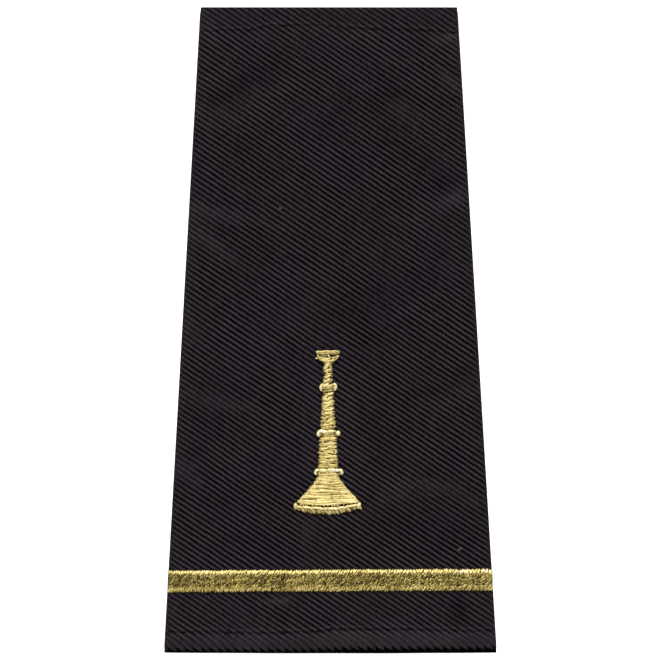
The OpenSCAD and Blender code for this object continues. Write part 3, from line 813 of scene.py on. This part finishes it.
# Threads laid one by one: points, lift, radius, tone
# On the rings the upper threads take tones above 1 and the lower ones low tones: a painted highlight on their
# lit tops and painted shade on their lower sides
LAID = {
    "mouth_rim": [
        ([(-1.9, 27.22), (-1.1, 27.16), (-0.4, 27.26), (0.5, 27.2), (1.2, 27.25), (1.92, 27.2)],
         0.5, 0.17, 0.86),
        ([(-1.8, 26.98), (-0.9, 26.86), (0.1, 26.97), (0.9, 26.98), (1.8, 26.93)], 0.44, 0.16, 0.68),
    ],
    "mouth_cup": [
        ([(-1.72, 26.78), (-1.5, 26.17), (-0.92, 25.76), (0.08, 25.55), (1.09, 25.83), (1.59, 26.28),
          (1.8, 26.6)], 0.46, 0.2, 0.78),
        ([(-1.5, 26.4), (-1.05, 26.14), (0.0, 26.02), (1.0, 26.18), (1.7, 26.46)], 0.42, 0.2, 0.66),
        ([(-1.32, 25.95), (-0.75, 25.84), (-0.1, 25.9), (0.6, 26.1)], 0.5, 0.15, 0.92),
        ([(-0.4, 25.62), (0.5, 25.7), (1.1, 25.95), (1.5, 26.3)], 0.46, 0.15, 0.9),
        ([(-0.66, 25.36), (0.0, 25.26), (0.86, 25.4)], 0.4, 0.15, 0.8),
        ([(-0.08, 26.78), (0.18, 26.48), (0.36, 26.2)], 0.5, 0.15, 1.05),
        ([(-1.25, 26.62), (-0.6, 26.48), (0.05, 26.6)], 0.3, 0.19, 0.34),
        ([(0.25, 26.8), (0.9, 26.74), (1.65, 26.78)], 0.34, 0.1, 0.7),
        ([(-1.4, 26.2), (-1.8, 26.12), (-2.12, 26.03)], 0.34, 0.1, 1.2),
    ],
    "upper_ring": [
        ([(-0.75, 21.74), (-1.12, 21.55), (-1.25, 21.15), (-1.02, 20.66)], 0.64, 0.21, 1.28),
        ([(1.0, 21.84), (1.32, 21.55), (1.3, 21.1), (1.06, 20.78)], 0.68, 0.24, 1.34),
        ([(-0.7, 21.5), (-0.85, 21.15), (-0.7, 20.78)], 0.52, 0.18, 0.75),
        ([(0.95, 21.5), (0.95, 21.15), (0.8, 20.8)], 0.54, 0.2, 0.85),
        ([(-0.85, 21.3), (-0.35, 21.58), (0.15, 21.82)], 0.62, 0.22, 1.22),
        ([(-0.35, 21.2), (0.35, 21.52), (0.95, 21.72)], 0.62, 0.21, 1.1),
        ([(-0.9, 20.88), (0.0, 21.05), (0.95, 21.3)], 0.52, 0.2, 0.7),
        ([(-0.88, 20.52), (0.1, 20.66), (1.02, 20.88)], 0.48, 0.19, 0.7),
    ],
    "middle_ring": [
        ([(-0.85, 14.04), (-1.4, 13.88), (-1.68, 13.5), (-1.5, 13.08)], 0.66, 0.25, 1.34),
        ([(-1.15, 13.8), (-1.3, 13.4), (-1.1, 13.05)], 0.54, 0.2, 0.55),
        ([(-1.15, 13.94), (-0.55, 13.78), (-0.05, 13.86)], 0.68, 0.25, 1.28),
        ([(-0.1, 13.78), (0.45, 13.92), (1.25, 13.82)], 0.68, 0.25, 1.24),
        ([(-1.2, 13.54), (-0.4, 13.4), (0.5, 13.56), (1.32, 13.48)], 0.54, 0.2, 0.72),
        ([(-1.15, 13.2), (0.0, 13.08), (1.3, 13.22)], 0.48, 0.2, 0.6),
    ],
    "lower_ring": [
        ([(-1.62, 7.5), (-1.98, 7.32), (-2.1, 7.0), (-2.0, 6.72)], 0.66, 0.25, 1.34),
        ([(1.72, 7.44), (2.12, 7.36), (2.3, 7.06), (2.2, 6.76)], 0.68, 0.26, 1.36),
        ([(-1.5, 7.3), (-0.8, 7.4), (-0.1, 7.3)], 0.68, 0.29, 1.22),
        ([(-0.25, 7.28), (0.15, 7.42), (0.62, 7.34)], 0.68, 0.29, 1.18),
        ([(0.5, 7.28), (0.9, 7.44), (1.3, 7.32)], 0.68, 0.29, 1.3),
        ([(1.15, 7.26), (1.5, 7.4), (1.8, 7.26)], 0.66, 0.28, 1.24),
        ([(1.76, 7.16), (1.92, 6.98), (1.86, 6.72)], 0.52, 0.16, 0.55),
        ([(-1.8, 7.15), (-1.8, 6.92), (-1.66, 6.62)], 0.5, 0.16, 0.5),
        ([(-1.5, 7.2), (-1.5, 6.9), (-1.35, 6.6)], 0.5, 0.16, 0.8),
        ([(-1.6, 7.0), (-0.6, 6.92), (0.3, 7.02), (1.42, 6.96)], 0.52, 0.23, 0.74),
        ([(-1.66, 6.68), (-0.6, 6.56), (0.5, 6.7), (1.8, 6.64)], 0.5, 0.23, 0.82),
        ([(-1.5, 6.46), (-0.8, 6.36), (0.2, 6.48), (1.62, 6.42)], 0.42, 0.22, 0.8),
    ],
    "bell": [
        ([(-1.58, 6.1), (-1.66, 5.8), (-2.02, 5.25), (-2.72, 4.45), (-3.2, 3.8)], 0.36, 0.2, 0.95),
        ([(-2.9, 4.15), (-3.42, 3.52), (-4.16, 2.92), (-4.86, 2.1)], 0.36, 0.2, 0.95),
        ([(1.6, 6.05), (1.95, 5.42), (2.66, 4.6), (3.34, 3.84)], 0.36, 0.2, 0.92),
        ([(3.18, 4.1), (3.6, 3.5), (4.3, 2.86), (4.88, 2.12)], 0.36, 0.2, 0.95),
        ([(-1.42, 6.22), (-1.05, 5.98), (-0.62, 6.2), (-0.15, 5.96), (0.3, 6.2)], 0.5, 0.18, 1.0),
        ([(0.3, 6.2), (0.7, 5.95), (1.15, 6.18), (1.5, 5.96)], 0.5, 0.18, 1.02),
        ([(-1.2, 6.15), (-1.45, 5.55), (-1.85, 5.0)], 0.54, 0.16, 0.98),
        ([(-0.6, 6.0), (-1.0, 5.55), (-1.3, 5.2)], 0.54, 0.15, 0.85),
        ([(0.3, 5.9), (0.75, 5.5), (1.45, 5.62)], 0.5, 0.15, 1.0),
        ([(-4.78, 1.96), (-3.77, 1.86), (-1.93, 1.68), (0.25, 1.7), (2.09, 1.9), (4.66, 2.1)],
         0.42, 0.2, 1.05),
    ],
    "bell_rim": [
        ([(-5.3, 1.3), (-4.7, 1.24), (-4.2, 1.08)], 0.58, 0.19, 1.15),
        ([(-4.4, 1.22), (-3.4, 1.16), (-2.6, 0.98)], 0.6, 0.2, 1.2),
        ([(-2.75, 1.1), (-1.6, 1.06), (-0.6, 0.86)], 0.61, 0.2, 1.15),
        ([(-0.75, 0.98), (0.55, 0.98), (1.75, 0.92)], 0.62, 0.2, 1.22),
        ([(1.55, 1.06), (2.3, 1.16), (3.05, 1.1)], 0.61, 0.19, 1.15),
        ([(2.85, 1.26), (3.8, 1.42), (4.9, 1.58)], 0.6, 0.19, 1.12),
    ],
}
# Painted shade: short threads in a dark tone, laid where gaps between stitches lie in shade: x, y and height
SHADE_DASHES = {
    "mouth_cup": [(0.55, 26.07, 0.52), (1.28, 26.02, 0.5)],
    "neck": [(0.18, 24.4, 0.56), (0.49, 22.9, 0.54), (-0.45, 23.6, 0.54)],
    "upper_ring": [(-0.75, 20.9, 0.62), (0.8, 21.08, 0.66)],
    "upper_tube": [(-0.65, 17.24, 0.55), (0.9, 16.99, 0.52), (-0.15, 15.82, 0.58), (-0.82, 15.15, 0.54),
                   (0.77, 14.82, 0.55), (-0.4, 14.26, 0.58), (-0.07, 19.55, 0.57), (0.8, 19.45, 0.5)],
    "middle_ring": [(0.99, 13.56, 0.72), (-0.9, 13.26, 0.66)],
    "lower_tube": [(-1.2, 12.2, 0.5), (0.3, 8.1, 0.56), (-0.5, 8.0, 0.56), (1.0, 10.4, 0.52),
                   (-0.3, 11.3, 0.56)],
    "lower_ring": [(1.52, 6.98, 0.64), (-1.76, 7.03, 0.6)],
}
# The dark slit between bell and rim and the rim's lower edge, as xs and ys, then the threads that cross the
# slit: x and radius
SLIT = ([-4.6, -3.77, -1.93, 0.25, 2.09, 4.6], [1.62, 1.54, 1.34, 1.35, 1.56, 1.86])
RIM_LOW = ([-5.3, -3.9, -2.4, -0.6, 1.3, 3.2, 5.0], [0.78, 0.38, 0.15, 0.03, 0.14, 0.50, 1.05])
CROSSING = [
    (-4.6, 0.17), (-4.2, 0.17), (-3.8, 0.17), (-3.5, 0.14), (-2.7, 0.17), (-2.03, 0.11), (-1.37, 0.08),
    (-0.73, 0.09), (-0.1, 0.11), (0.62, 0.17), (1.0, 0.18), (1.42, 0.18), (1.72, 0.12), (2.52, 0.09),
    (3.2, 0.09), (3.87, 0.09), (4.5, 0.14),
]


def make_bugle(material):
    made = []
    for i, (name, (low, high, shape)) in enumerate(PLAN.items()):
        r = np.random.default_rng(100 + i)
        out = Threads()
        low, high = low * BUGLE_H, high * BUGLE_H
        half = profile_of(shape, low, high)
        under(out, low, high, half, tone=0.42 if name == "bell" else 0.32)
        for past_low, past_high, step, lift, look in SATIN.get(name, []):
            satin(out, r, low + past_low, high + past_high, half, step, lift, **look)
        for *where, look in KNOBS.get(name, []):
            knob(out, *where, **look)
        for points, lift, radius, tone in LAID.get(name, []):
            laid(out, points, lift, radius, tone)
        for x, y, lift in SHADE_DASHES.get(name, []):
            # Each is a short dark thread: painted shade
            dash = [(x - 0.17, y - 0.04), (x, y), (x + 0.17, y + 0.05)]
            laid(out, dash, lift + 0.09, 0.11, -0.35, slope=0.08)
        made.append((name, out))

    # The rim: a bright thread along its upper edge, over a row of short slanting stitches
    r = np.random.default_rng(131)
    out = Threads()

    def top(x):
        return np.interp(x, *SLIT) - 0.38

    def bottom(x):
        return np.interp(x, *RIM_LOW)

    # The rim's ground is in a dark tone: painted shade in the gaps between its stitches
    xx, tt = np.meshgrid(np.linspace(-5.2, 5.2, 40), np.linspace(0.0, 0.92, 6))
    yy = top(xx) + 0.5 - (top(xx) + 0.5 - bottom(xx)) * (1 - tt)
    out.sheet(BUGLE_X + xx, BUGLE_Y + yy, -0.05 + 0.2 * hump(tt, 0.25), -0.3)
    n = 21
    t = spread(13)
    for shift, wide, lift, dull, bright in ((0.0, 0.22, 0.40, 0.58, 1.12), (0.24, 0.20, 0.33, 0.45, 0.85)):
        x0 = np.linspace(-5.05, 4.75, n)[:, None] + shift + r.normal(0, 0.06, (n, 1))
        lowest = bottom(x0) + 0.10 + r.normal(0, 0.08, (n, 1))
        highest = top(x0) + 0.05
        x = x0 + (0.45 + r.normal(0, 0.30, (n, 1))) * (0.5 - t) + r.normal(0, 0.09, (n, 1))
        y = lowest + (highest - lowest) * t
        away = np.minimum(t, 1 - t) * (highest - lowest)
        out.add(BUGLE_X + x, BUGLE_Y + y, shoulder(away, 0.13, 0.35, lift) + 0 * x, wide + 0 * x,
                r.uniform(dull, bright, n), sides=8)
    for points, lift, radius, tone in LAID["bell_rim"]:
        laid(out, points, lift, radius, tone)
    for x, wide in CROSSING:
        y = np.interp(x, *SLIT)
        laid(out, [(x, y + 0.24), (x + 0.05, y), (x + 0.10, y - 0.24)], 0.40, wide, 0.80, slope=0.12)
    for *where, look in KNOBS["bell_rim"]:
        knob(out, *where, **look)
    made.append(("bell_rim", out))

    pieces = []
    for name, out in made:
        obj = out.piece(f"bugle_{name}_threads", material)
        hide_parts(f"bugle_{name}")
        pieces.append(obj)
    return pieces


# The hem stitches

def make_stitches(material):
    r = np.random.default_rng(9)
    out = Threads()
    for end in (-1, 1):
        line = end * STITCH_AT
        reach = 2 * flat_half(line) + FOLD_TURN
        n = int(2 * reach / STITCH_STEP)
        mid = (np.arange(n) - n // 2) * STITCH_STEP
        mid = mid[np.abs(mid) < reach - 0.9]
        mid = (mid + r.normal(0, 0.03, len(mid)))[:, None]
        t = spread(11)
        g = mid + (t - 0.5) * STITCH_LONG
        k, _ = from_girth(g, line + 0 * g)
        y = end * (HALF_L - stitch_away(k, end)) + 0.07 * np.sin(TAU * t) + r.normal(0, 0.05, mid.shape)
        y = y + r.normal(0, 0.08, mid.shape) * (t - 0.5)
        h = -0.30 + r.uniform(0.08, 0.28, mid.shape) * hump(t, 0.3)
        out.add(g, y, h, STITCH_R + 0 * h, r.uniform(0, 1, len(mid)))
    return out.piece("hem_stitches", material)


# Materials

def operator(kind, swapped=False):
    def apply(a, b):
        return a.nodes.math(kind, b, a) if swapped else a.nodes.math(kind, a, b)
    return apply


class Value:
    """What a node gives out. + - * / ** and abs make further nodes of it."""

    def __init__(self, nodes, socket):
        self.nodes, self.socket = nodes, socket

    __add__ = __radd__ = operator("ADD")
    __mul__ = __rmul__ = operator("MULTIPLY")
    __sub__, __rsub__ = operator("SUBTRACT"), operator("SUBTRACT", True)
    __truediv__, __pow__ = operator("DIVIDE"), operator("POWER")

    def __neg__(self):
        return self * -1.0

    def __abs__(self):
        return self.nodes.math("ABSOLUTE", self)


class Nodes:
    """Builds a material's nodes with short calls."""

    def __init__(self, name):
        self.material = bpy.data.materials.new(name)
        self.material.use_nodes = True
        self.tree = self.material.node_tree
        self.tree.nodes.clear()
        out = self.tree.nodes.new("ShaderNodeOutputMaterial")
        self.shader = self.tree.nodes.new("ShaderNodeBsdfPrincipled")
        self.tree.links.new(self.shader.outputs[0], out.inputs["Surface"])

    def feed(self, socket, value):
        """Links a value to a socket, or sets the socket to a number or colour."""
        if isinstance(value, Value):
            self.tree.links.new(value.socket, socket)
        else:
            socket.default_value = value

    def set(self, name, value):
        self.feed(self.shader.inputs[name], value)

    def node(self, kind, output, inputs, **settings):
        """A node with its settings and inputs, by number or name; gives its output."""
        n = self.tree.nodes.new("ShaderNode" + kind)
        for name, value in settings.items():
            setattr(n, name, value)
        for key, value in inputs.items():
            self.feed(n.inputs[key], value)
        return Value(self, n.outputs[output])

    def math(self, kind, *values, clamp=False):
        return self.node("Math", 0, dict(enumerate(values)), operation=kind, use_clamp=clamp)

    def attribute(self, name):
        """The three parts of a vector that the mesh stores."""
        vector = self.node("Attribute", "Vector", {}, attribute_name=name)
        n = self.tree.nodes.new("ShaderNodeSeparateXYZ")
        self.feed(n.inputs[0], vector)
        return [Value(self, out) for out in n.outputs]

    def noise(self, vector, scale, detail=2.0, rough=0.5):
        inputs = {"Scale": scale, "Detail": detail, "Roughness": rough, "Vector": vector}
        return self.node("TexNoise", "Fac", inputs)

    def white(self, a, b):
        """A random value for each whole a and b."""
        return self.node("TexWhiteNoise", "Value", {"Vector": self.vector(a, b)}, noise_dimensions="2D")

    def vector(self, *parts):
        return self.node("CombineXYZ", 0, dict(enumerate(parts)))

    def ramp(self, value, *stops):
        n = self.tree.nodes.new("ShaderNodeValToRGB")
        ramp = n.color_ramp
        while len(ramp.elements) < len(stops):
            ramp.elements.new(0.5)
        for e, (pos, colour) in zip(ramp.elements, stops):
            e.position = pos
            e.color = (*colour, 1)
        self.feed(n.inputs[0], value)
        return Value(self, n.outputs[0])

    def remap(self, value, a, b, c, d):
        """From a to b the value becomes c to d, and past them it stays."""
        return self.node("MapRange", 0, {0: value, 1: a, 2: b, 3: c, 4: d})

    def mix(self, fac, a, b, kind="MIX"):
        a, b = (x if isinstance(x, Value) else (*x, 1) for x in (a, b))
        n = self.tree.nodes.new("ShaderNodeMix")
        n.data_type, n.blend_type = "RGBA", kind
        for i, value in ((0, fac), (6, a), (7, b)):
            self.feed(n.inputs[i], value)
        return Value(self, n.outputs[2])

    def bump(self, height, strength, distance):
        return self.node("Bump", 0, {"Strength": strength, "Distance": distance, "Height": height})

    def object_coords(self):
        return self.node("TexCoord", "Object", {})


# Bits of lint on the cloth: x, y, breadth and how much they show
LINT = [(-8.23, 20.38, 0.13, 0.9), (21.6, -36.84, 0.16, 0.8), (21.9, -36.6, 0.16, 1.0)]


def twill_material():
    m = Nodes("black_twill")
    g, v, gap = m.attribute("developed")
    coords = m.object_coords()

    def bell_curve(value, size):
        near = value / size
        return m.math("EXPONENT", -near * near)

    def spot(x, y, wide, tall):
        return bell_curve(g - x, wide) * bell_curve(v - y, tall)

    # Diagonal ribs, stepped from one warp yarn to the next
    past = m.math("MAXIMUM", -STEEP_V - v, 0.0)
    vb = v + past * STEEPER + m.remap(m.noise(coords, 620, 2), 0.3, 0.7, -0.05, 0.05)
    c = (vb + g * RIB_TAN) / RIB_STEP
    rib = 0.5 - m.math("COSINE", c * TAU) * 0.5
    warp = g / WARP_STEP
    step = m.math("FLOOR", warp) + 0.5
    off = (warp - step) * 2.0
    rounded = m.math("SUBTRACT", 1.0, off * off, clamp=True)
    cs = (vb + step * (WARP_STEP * RIB_TAN)) / RIB_STEP
    float_ = 0.5 - m.math("COSINE", cs * TAU) * 0.5
    yarn = rounded * float_ ** 0.6
    each = m.white(m.math("FLOOR", warp), m.math("FLOOR", cs))
    fuzz = m.noise(coords, 5200, 3, 0.7)
    uneven = m.noise(coords, 900, 2)
    # Ribs and the gaps between them grow lighter and darker along their length
    along = g * 0.34 - v * 0.22
    on_rib = m.noise(m.vector(along, m.math("FLOOR", c) * 3.7, 0.0), 1.0, 3, 0.6)
    in_gap = m.noise(m.vector(along * 1.5, m.math("ROUND", c) * 5.3, 4.0), 1.0, 3, 0.6)
    # The ribs are clearer in some patches than in others, and less clear in the hems and beside the stripe
    hem = m.remap(gap, 0.4, 1.6, 0.0, 1.0)
    wide_hem = hem * m.remap(v, -1, 1, 1.0, 0.0)
    by_stripe = bell_curve(abs(v - STRIPE_Y) - (STRIPE_W / 2 + 0.1), 0.35)
    clear = m.remap(m.noise(coords, 150, 2), 0.35, 0.65, 0.74, 1.12)
    clear = clear * (1.0 - hem * 0.34) * (1.0 - wide_hem * 0.42) * (1.0 - by_stripe * 0.4)
    clear = clear * m.remap(v, -41.6, -40.0, 0.88, 1.0) * m.remap(v, -53.2, -51.2, 0.65, 1.0)
    # Of these parts, the second is painted light along the wrinkles and the third painted light and painted
    # shade from the patches
    pressed, crease_light_painted, patch = m.attribute("pressed")
    clear = clear * (1.0 - pressed * 0.42)
    lively = rib * m.remap(on_rib, 0.3, 0.7, 0.9, 1.1)
    hollow = (1.0 - rib) * m.remap(in_gap, 0.35, 0.65, 0.05, -0.07)
    dots = m.math("COSINE", warp * TAU)
    deep = lively * 0.7 + yarn * 0.32 + hollow + (1.0 - rib) * dots * 0.15
    deep = (deep - 0.485) * clear + 0.468
    deep = deep + m.remap(uneven, 0.3, 0.7, -0.018, 0.018) + (each - 0.5) * 0.09
    # The wrinkles' part adds painted light, the patches' part painted light and painted shade, and the spot
    # near the wide end paints the shade of a shallow dent
    deep = deep + crease_light_painted * 0.08 + patch - spot(21.6, -47.2, 1.5, 2.6) * 0.15
    light_hem = m.remap(gap, 0.0, 0.5, 0.0, 1.0) * m.remap(v, -30, 30, 0.125, 0.0)
    light_hem = light_hem * m.remap(g, -20, 5, 0.85, 1.0)
    deep = deep + light_hem + m.remap(abs(v), 25, 40, 0.0, 0.012)
    # On its side towards the narrow end each seam line is puffed up, and painted light brightens that puff
    # where it faces the light
    upper = gap * m.math("SIGN", v) - 0.44
    deep = deep + bell_curve(upper, 0.2) * 0.12
    # The seam lines sink between one needle hole and the next, and painted shade darkens them, less at the
    # holes; painted shade also blackens the wide end's bend, where it turns away from the light
    beat = m.math("FRACT", g / STITCH_STEP) - 0.5
    hole = bell_curve(beat, 0.22)
    painted_shade = bell_curve(gap, 0.19) * (0.42 - hole * 0.25)
    bend = 0.62 - rib ** 0.6 * 0.62 - v - m.remap(g, -4, 3, 0.3, 0.0)
    painted_shade = m.math("ADD", painted_shade, m.remap(bend, EDGE - 0.52, EDGE - 0.02, 0.0, 1.0), clamp=True)
    # The ramp runs from near black in the gaps between ribs to dark grey on their crests: the cloth's own
    # tone, deepened in the gaps by painted shade
    base = m.ramp(deep, (0.0, (0.0006, 0.0004, 0.0006)), (0.22, (0.0040, 0.0030, 0.0040)),
                  (0.50, (0.0144, 0.0115, 0.0143)), (0.95, (0.0378, 0.0328, 0.0382)))
    base = m.mix(painted_shade, base, (0.0001, 0.0, 0.0001))
    deep = deep * (1.0 - painted_shade)
    tint = m.ramp(m.noise(coords, 90, 3), (0.38, (1.03, 0.965, 1.05)), (0.62, (1.00, 1.0, 0.94)))
    colour = m.mix(1.0, base, tint, "MULTIPLY")
    # Lint: small pale specks all over, the bits listed above, and a paler fuzzy place below the stripe
    cells = m.node("TexVoronoi", "Distance", {"Scale": 210, "Vector": coords})
    lint = m.remap(cells, 0.012, 0.040, 0.25, 0.0)
    for x, y, wide, much in LINT:
        lint = lint + spot(x, y, wide, 0.13) * much
    pale_fuzz_patch = spot(-8.6, -45.2, 2.0, 0.55) * m.remap(fuzz, 0.35, 0.65, 0.0, 0.15)
    lint = m.math("ADD", lint, pale_fuzz_patch, clamp=True)
    colour = m.mix(lint, colour, (0.13, 0.125, 0.13))
    bright = m.remap(fuzz, 0.35, 0.75, 0.78, 1.35)
    m.set("Base Color", m.node("HueSaturation", 0, {"Color": colour, "Value": bright}))
    m.set("Roughness", m.remap(deep, 0.1, 0.9, 0.95, 0.75))
    m.set("Specular IOR Level", 0.01)
    m.set("Sheen Weight", 0.008)
    m.set("Sheen Roughness", 0.4)
    m.set("Sheen Tint", (0.85, 0.8, 0.88, 1))
    m.set("Normal", m.bump(yarn + fuzz * 0.25, 0.7, 0.06 * MM))
    return m.material


def black_thread_material():
    m = Nodes("black_thread")
    run, across, _ = m.attribute("thread")
    coords = m.object_coords()
    twist = m.math("SINE", run * (TAU / 0.34) + across * 2.0)
    fine = m.noise(coords, 4200, 2, 0.6)
    base = m.ramp(twist * 0.2 + fine, (0.2, (0.001, 0.0008, 0.001)), (0.8, (0.007, 0.006, 0.0068)))
    m.set("Base Color", base)
    m.set("Roughness", m.remap(fine, 0.3, 0.7, 0.5, 0.75))
    m.set("Specular IOR Level", 0.03)
    m.set("Normal", m.bump(twist * 0.6 + fine, 0.6, 0.03 * MM))
    return m.material


def gold_material(name, rough, metal, coat, gap_shade, blue):
    """Gold thread: range of its roughness, how dark the painted shade in its gaps is, and how much blue its
    duller tones hold.
    """
    m = Nodes(name)
    run, across, tone = m.attribute("thread")
    coords = m.object_coords()
    twist = m.math("SINE", run * (TAU / 0.42) + across * 2.2)
    fine = m.noise(coords, 2600, 2, 0.6)
    patch = m.noise(coords, 260, 2)
    gaps = m.noise(coords, 1500, 1)
    shade = tone * 0.72 + m.remap(patch, 0.3, 0.7, -0.04, 0.14) + m.remap(fine, 0.3, 0.7, -0.08, 0.1)
    # The sides of each thread are painted darker where strands touch, and specks of noise paint the shade of
    # gaps between threads
    shade = shade - abs(across) ** 3.0 * 0.18 - m.remap(gaps, 0.52, 0.72, 0.0, gap_shade)
    # Tones near 1 and above reach the pale cream top of the ramp: a painted highlight
    base = m.ramp(shade, (0.0, (0.038, 0.023, 0.005 * blue)), (0.30, (0.228, 0.172, 0.044 * blue)),
                  (0.65, (0.555, 0.445, 0.146 * blue)), (0.88, (0.83, 0.70, 0.31)),
                  (1.0, (0.96, 0.90, 0.74)))
    m.set("Base Color", base)
    m.set("Metallic", metal)
    m.set("Roughness", m.remap(fine, 0.3, 0.7, *rough))
    m.set("Coat Weight", coat)
    m.set("Coat Roughness", 0.3)
    m.set("Normal", m.bump(twist * 0.5 + fine, 0.5, 0.03 * MM))
    return m.material


def floor_material():
    m = Nodes("floor_white")
    cloud = m.noise(m.object_coords(), 3, 2)
    m.set("Base Color", m.ramp(cloud, (0.3, (0.86, 0.86, 0.86)), (0.7, (0.88, 0.88, 0.88))))
    m.set("Roughness", 0.9)
    m.set("Specular IOR Level", 0.1)
    m.set("Emission Color", (1, 1, 1, 1))
    m.set("Emission Strength", 0.68)
    return m.material


# The pieces

twill = twill_material()
gold = gold_material("gold_thread", (0.40, 0.54), 0.60, 0.05, 0.06, 0.86)

cloth = make_cloth(twill)
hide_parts("sleeve")
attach(cloth, "root")

stripe = make_stripe(gold)
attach(stripe, "root")

for piece in make_bugle(gold_material("gold_thread_dense", (0.50, 0.64), 0.45, 0.04, 0.26, 1.06)):
    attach(piece, "root")

stitches = make_stitches(black_thread_material())
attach(stitches, "root")


# Floor, light and camera

def make_floor():
    n, half, height = 13, 6000, -0.05
    s = np.linspace(-half, half, n)
    x, y = np.meshgrid(s, s)
    verts = np.stack([x.ravel(), y.ravel(), np.full(x.size, height)], -1)
    quads = grid_faces(np.arange(n * n).reshape(n, n))
    obj = make_object("floor", verts, quads, floor_material(), False)


def make_sun(name, away, azimuth, strength, angle, colour=(1, 1, 1)):
    """A soft distant light, away degrees from straight above and azimuth degrees round from +X."""
    data = bpy.data.lights.new(name, "SUN")
    data.energy = strength
    data.angle = math.radians(angle)
    data.color = colour
    obj = bpy.data.objects.new(name, data)
    obj.rotation_euler = (0, math.radians(away), math.radians(azimuth))
    bpy.context.scene.collection.objects.link(obj)


make_floor()
make_sun("key", 52, 90, 3.6, 24, (1.0, 0.985, 0.96))
make_sun("fill", 55, -92, 1.1, 40)

world = bpy.data.worlds.new("world")
bpy.context.scene.world = world
world.use_nodes = True
sky = world.node_tree.nodes["Background"]
sky.inputs["Color"].default_value = (1, 1, 1, 1)
sky.inputs["Strength"].default_value = 0.45

# The camera looks straight down from far off; the picture shows VIEW metres from side to side
DISTANCE, VIEW, SENSOR = 4.0, 0.11050, 36
camera_data = bpy.data.cameras.new("camera")
camera_data.sensor_width = SENSOR
camera_data.lens = SENSOR * DISTANCE / VIEW
camera_data.clip_start, camera_data.clip_end = 0.1, 20
camera = bpy.data.objects.new("camera", camera_data)
camera.location = (0.00006, 0.00001, DISTANCE)
bpy.context.scene.collection.objects.link(camera)
bpy.context.scene.camera = camera
bpy.context.scene.view_settings.view_transform = "Standard"
